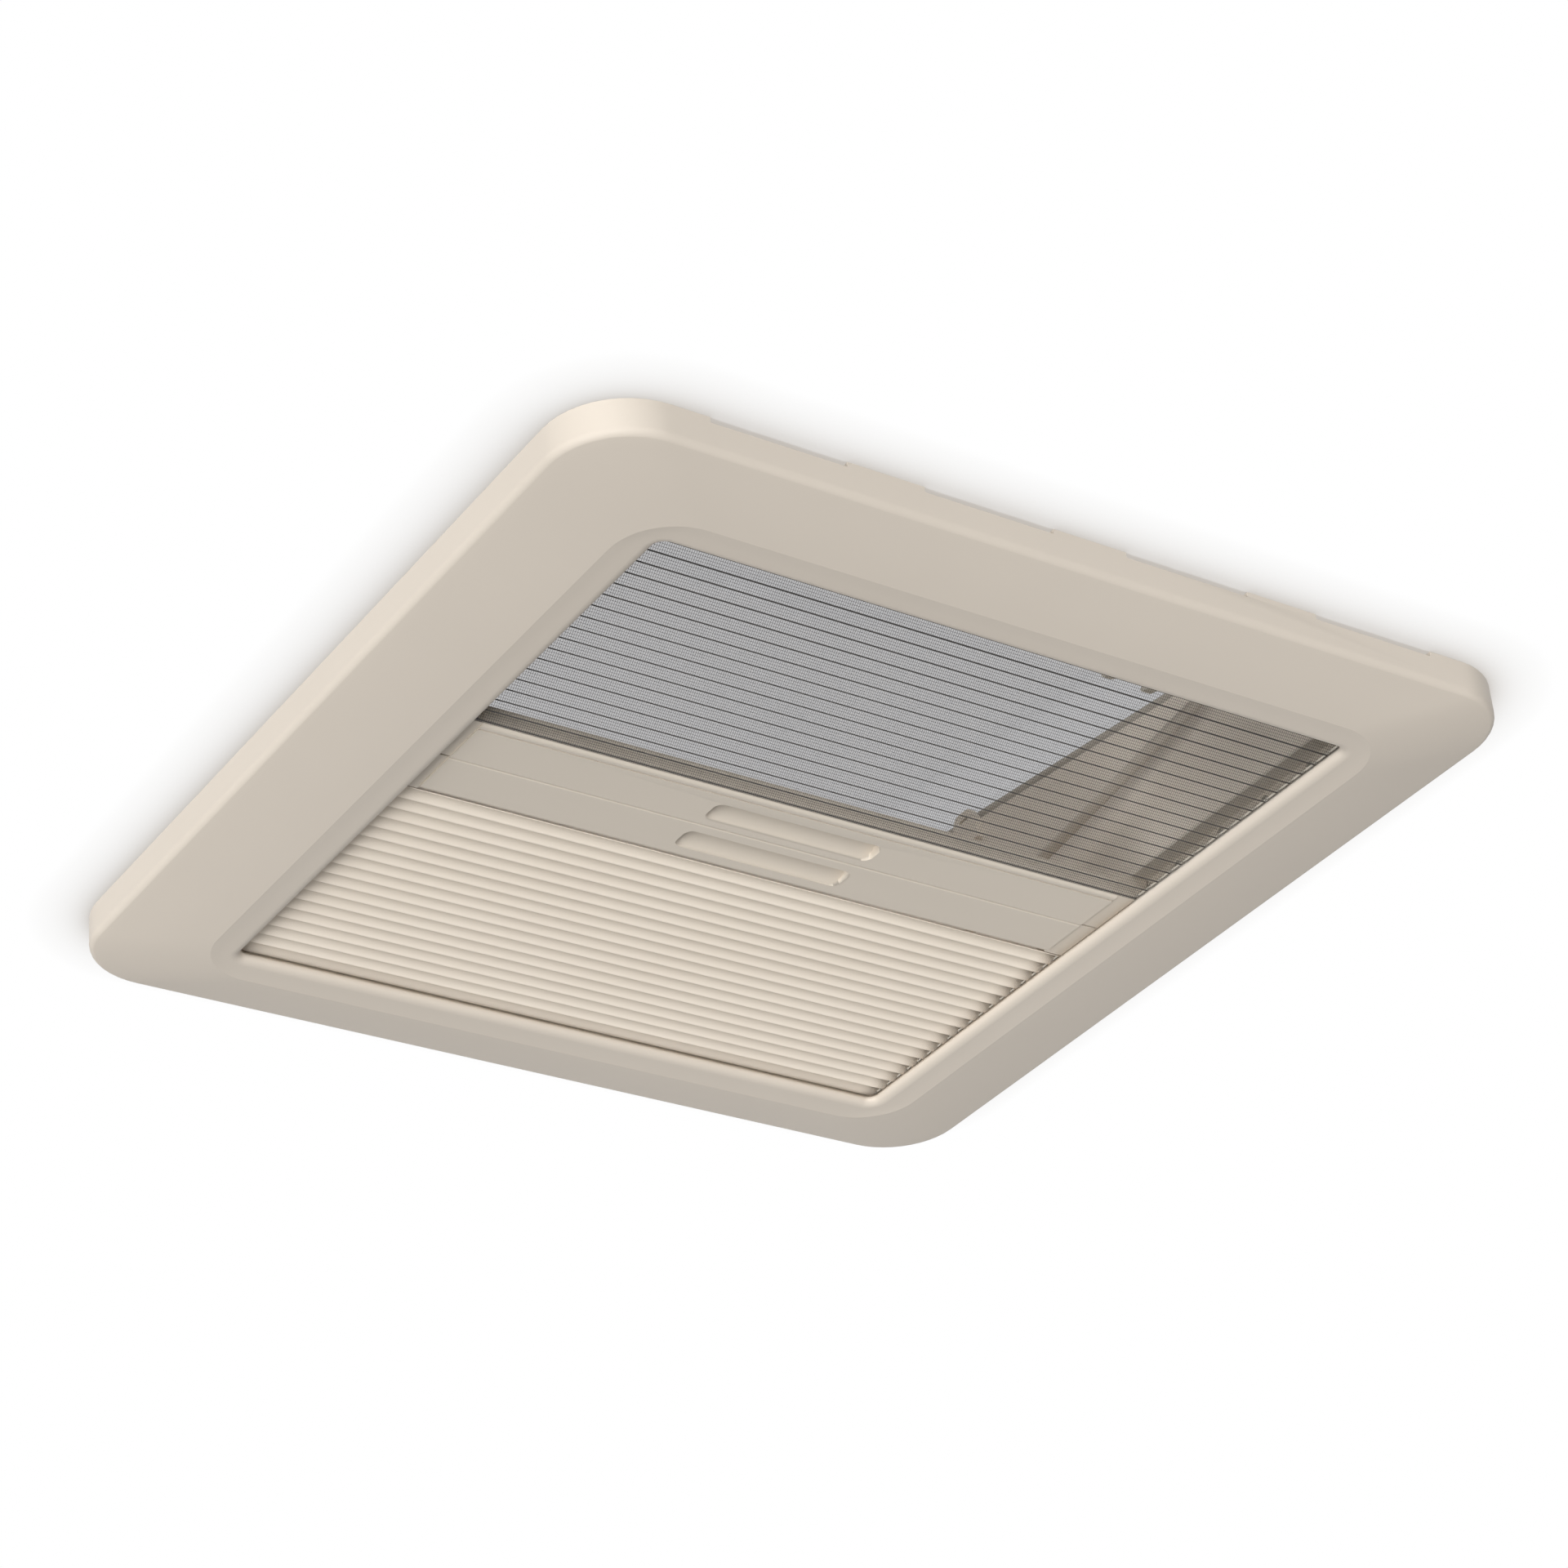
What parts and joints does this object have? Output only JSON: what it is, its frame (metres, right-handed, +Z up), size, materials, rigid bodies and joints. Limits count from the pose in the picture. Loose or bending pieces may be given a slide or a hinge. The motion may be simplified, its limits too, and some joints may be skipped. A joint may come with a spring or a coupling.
{
  "type": "rv skylight",
  "caption": "Square roof skylight for a camper: hinged double dome on a wedge frame, prop bail, and a beige trim frame with a pleated flyscreen and blackout blind.",
  "frame": {"origin": "centre of the roof cut-out, on the roof's outer skin, which the sealing tape lies on", "axes": "+Z up and out of the roof; X along the bars of the blinds and along the hinge axis; +Y from the flyscreen's end towards the blackout blind's end and the hinges"},
  "size_m": [0.475, 0.475, 0.1675],
  "materials": {
    "trim_plastic": "fine satin moulding grain, warm beige",
    "rail_plastic": "satin extrusion, beige",
    "bright_metal": "bright, lightly turned",
    "cord_fibre": "braided polyester",
    "flyscreen_net": "pleated woven net, dark grey",
    "blackout_cloth": "pleated coated cloth, warm cream",
    "bar_plastic": "satin moulding, beige",
    "cap_plastic": "moulded, greyish beige",
    "frame_plastic": "moulded, beige",
    "sealing_butyl": "tacky butyl tape",
    "seal_rubber": "matt foam rubber",
    "zinc_steel": "zinc plated",
    "bearing_plastic": "moulded, beige",
    "smoked_pane": "clear acrylic, lightly tinted",
    "clear_pane": "clear acrylic",
    "track_plastic": "moulded, beige",
    "rod_paint": "satin dark grey powder coat",
    "handle_plastic": "moulded, beige",
    "shoe_plastic": "slippery nylon",
    "button_plastic": "moulded, dark grey"
  },
  "bodies": {
    "root": {"trim_frame": "trim_plastic", "guide_rail_left": "rail_plastic", "guide_rail_right": "rail_plastic", "rail_rivets": "bright_metal", "flyscreen_end_rail": "rail_plastic", "blackout_end_rail": "rail_plastic", "tension_cords": "cord_fibre", "flyscreen_net": "flyscreen_net", "blackout_cloth": "blackout_cloth", "roof_frame": "frame_plastic", "sealing_tape": "sealing_butyl", "rim_seal": "seal_rubber", "clamp_brackets": "zinc_steel", "clamp_screws": "zinc_steel", "hinge_brackets": "frame_plastic", "hinge_pins": "bright_metal", "hinge_screws": "zinc_steel", "bail_bearings": "bearing_plastic", "bearing_screws": "zinc_steel", "bail_keepers": "bearing_plastic"},
    "dome": {"outer_pane": "smoked_pane", "inner_pane": "clear_pane", "hinge_leaves": "frame_plastic", "leaf_screws": "bright_metal", "slide_tracks": "track_plastic"},
    "bail": {"bail_rod": "rod_paint", "bail_handle": "handle_plastic", "glide_shoes": "shoe_plastic"},
    "button_left": {"release_button_left": "button_plastic"},
    "button_right": {"release_button_right": "button_plastic"},
    "flyscreen_slider": {"flyscreen_bar": "bar_plastic", "flyscreen_bar_caps": "cap_plastic"},
    "blackout_slider": {"blackout_bar": "bar_plastic", "blackout_bar_caps": "cap_plastic"}
  },
  "joints": [
    {"name": "dome_hinge", "type": "hinge", "parent": "root", "child": "dome", "pos_m": [0, 0.23037, 0.08013], "axis": [-1, 0, 0], "range_deg": [0, 50]},
    {"name": "bail_swing", "type": "hinge", "parent": "root", "child": "bail", "pos_m": [0, 0.16, -0.0139], "axis": [-1, 0, 0], "range_deg": [0, 55.5]},
    {"name": "flyscreen_slide", "type": "slide", "parent": "root", "child": "flyscreen_slider", "axis": [0, -1, 0], "range_m": [0, 0.124], "deforming": ["flyscreen_net"]},
    {"name": "blackout_slide", "type": "slide", "parent": "root", "child": "blackout_slider", "axis": [0, 1, 0], "range_m": [0, 0.128], "deforming": ["blackout_cloth"]},
    {"name": "button_left_press", "type": "slide", "parent": "bail", "child": "button_left", "axis": [0, 0.1309, 0.9914], "range_m": [0, 0.0024], "stiffness_N_per_m": 250},
    {"name": "button_right_press", "type": "slide", "parent": "bail", "child": "button_right", "axis": [0, 0.1309, 0.9914], "range_m": [0, 0.0024], "stiffness_N_per_m": 250}
  ],
  "couplings": [
    {"joint": "bail_swing", "follows": "dome_hinge", "ratio": 1.11}
  ]
}
